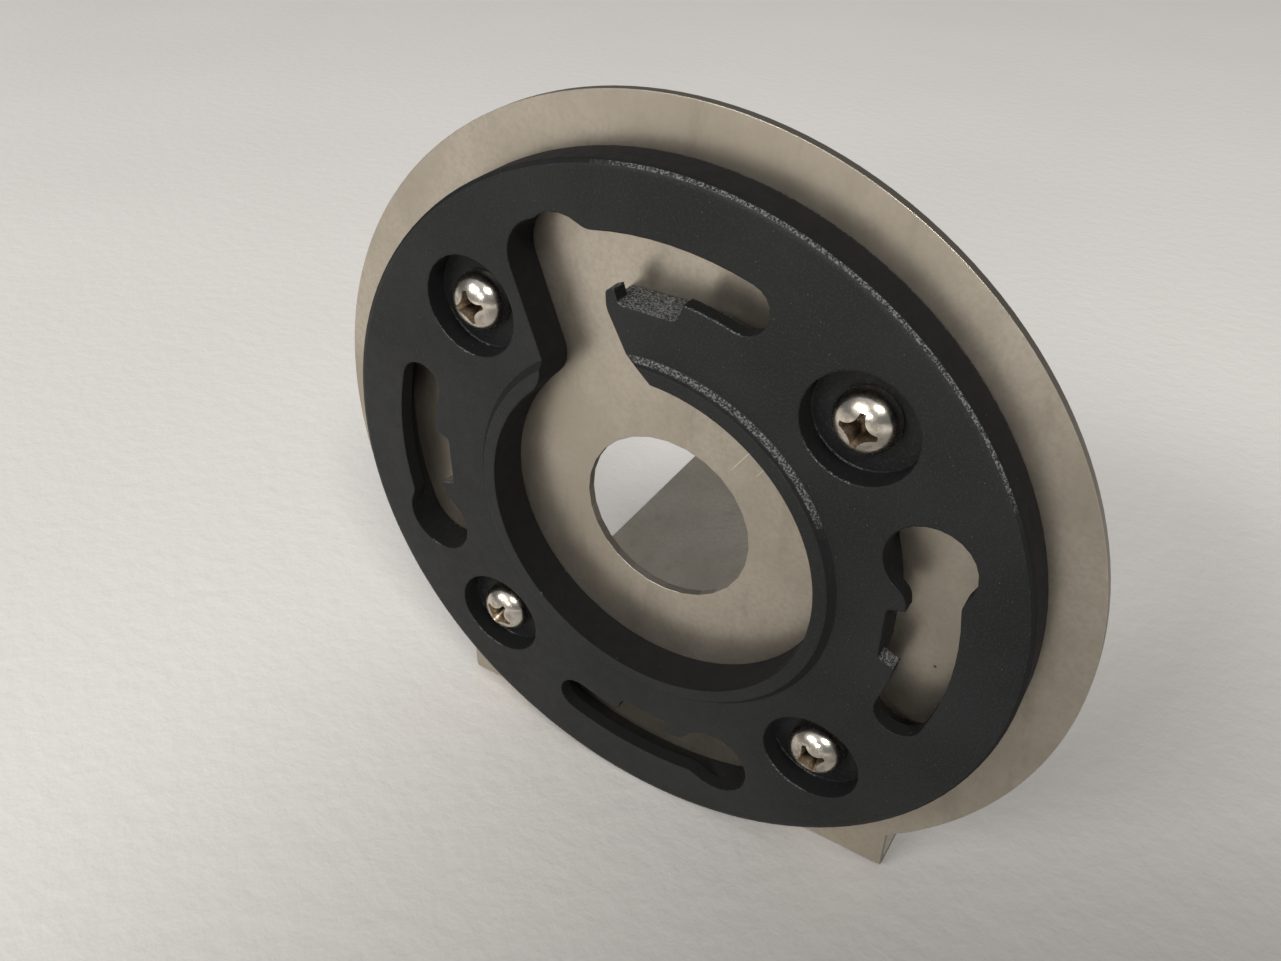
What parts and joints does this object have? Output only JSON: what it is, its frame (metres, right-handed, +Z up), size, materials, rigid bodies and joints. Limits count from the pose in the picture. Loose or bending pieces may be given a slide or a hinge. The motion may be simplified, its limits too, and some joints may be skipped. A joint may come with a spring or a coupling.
{
  "type": "twist-lock mount",
  "caption": "Black ring with keyhole slots, screwed to the round face of a folded stainless bracket; a device with headed studs is pushed in and turned to lock.",
  "frame": {"origin": "on the ground, under the middle of the bounding box's footprint", "axes": "+Z up from the foot, the ring faces -Y, +X to the right as seen from the front"},
  "size_m": [0.112, 0.1062, 0.106],
  "materials": {
    "stainless_sheet": "satin stainless sheet, faintly grained",
    "black_coating": "matt black fine-texture powder coat over a casting",
    "bright_steel": "polished stainless",
    "plated_steel": "plain stainless, lightly dulled"
  },
  "bodies": {
    "mount": {"mounting_bracket": "stainless_sheet", "twist_lock_ring": "black_coating", "flat_washer_upper_right": "plated_steel", "spring_washer_upper_right": "plated_steel", "flat_washer_upper_left": "plated_steel", "spring_washer_upper_left": "plated_steel", "flat_washer_lower_left": "plated_steel", "spring_washer_lower_left": "plated_steel", "flat_washer_lower_right": "plated_steel", "spring_washer_lower_right": "plated_steel"},
    "screw_upper_right": {"pan_screw_upper_right": "bright_steel"},
    "nut_upper_right": {"hex_nut_upper_right": "plated_steel"},
    "screw_upper_left": {"pan_screw_upper_left": "bright_steel"},
    "nut_upper_left": {"hex_nut_upper_left": "plated_steel"},
    "screw_lower_left": {"pan_screw_lower_left": "bright_steel"},
    "nut_lower_left": {"hex_nut_lower_left": "plated_steel"},
    "screw_lower_right": {"pan_screw_lower_right": "bright_steel"},
    "nut_lower_right": {"hex_nut_lower_right": "plated_steel"}
  },
  "joints": [
    {"name": "screw_turn_upper_right", "type": "hinge", "parent": "mount", "child": "screw_upper_right", "pos_m": [0.02652, -0.0521, 0.07652], "axis": [0, -1, 0], "continuous": true},
    {"name": "nut_turn_upper_right", "type": "hinge", "parent": "mount", "child": "nut_upper_right", "pos_m": [0.02652, -0.0439, 0.07652], "axis": [0, -1, 0], "continuous": true},
    {"name": "screw_turn_upper_left", "type": "hinge", "parent": "mount", "child": "screw_upper_left", "pos_m": [-0.02652, -0.0521, 0.07652], "axis": [0, -1, 0], "continuous": true},
    {"name": "nut_turn_upper_left", "type": "hinge", "parent": "mount", "child": "nut_upper_left", "pos_m": [-0.02652, -0.0439, 0.07652], "axis": [0, -1, 0], "continuous": true},
    {"name": "screw_turn_lower_left", "type": "hinge", "parent": "mount", "child": "screw_lower_left", "pos_m": [-0.02652, -0.0521, 0.02348], "axis": [0, -1, 0], "continuous": true},
    {"name": "nut_turn_lower_left", "type": "hinge", "parent": "mount", "child": "nut_lower_left", "pos_m": [-0.02652, -0.0439, 0.02348], "axis": [0, -1, 0], "continuous": true},
    {"name": "screw_turn_lower_right", "type": "hinge", "parent": "mount", "child": "screw_lower_right", "pos_m": [0.02652, -0.0521, 0.02348], "axis": [0, -1, 0], "continuous": true},
    {"name": "nut_turn_lower_right", "type": "hinge", "parent": "mount", "child": "nut_lower_right", "pos_m": [0.02652, -0.0439, 0.02348], "axis": [0, -1, 0], "continuous": true}
  ]
}
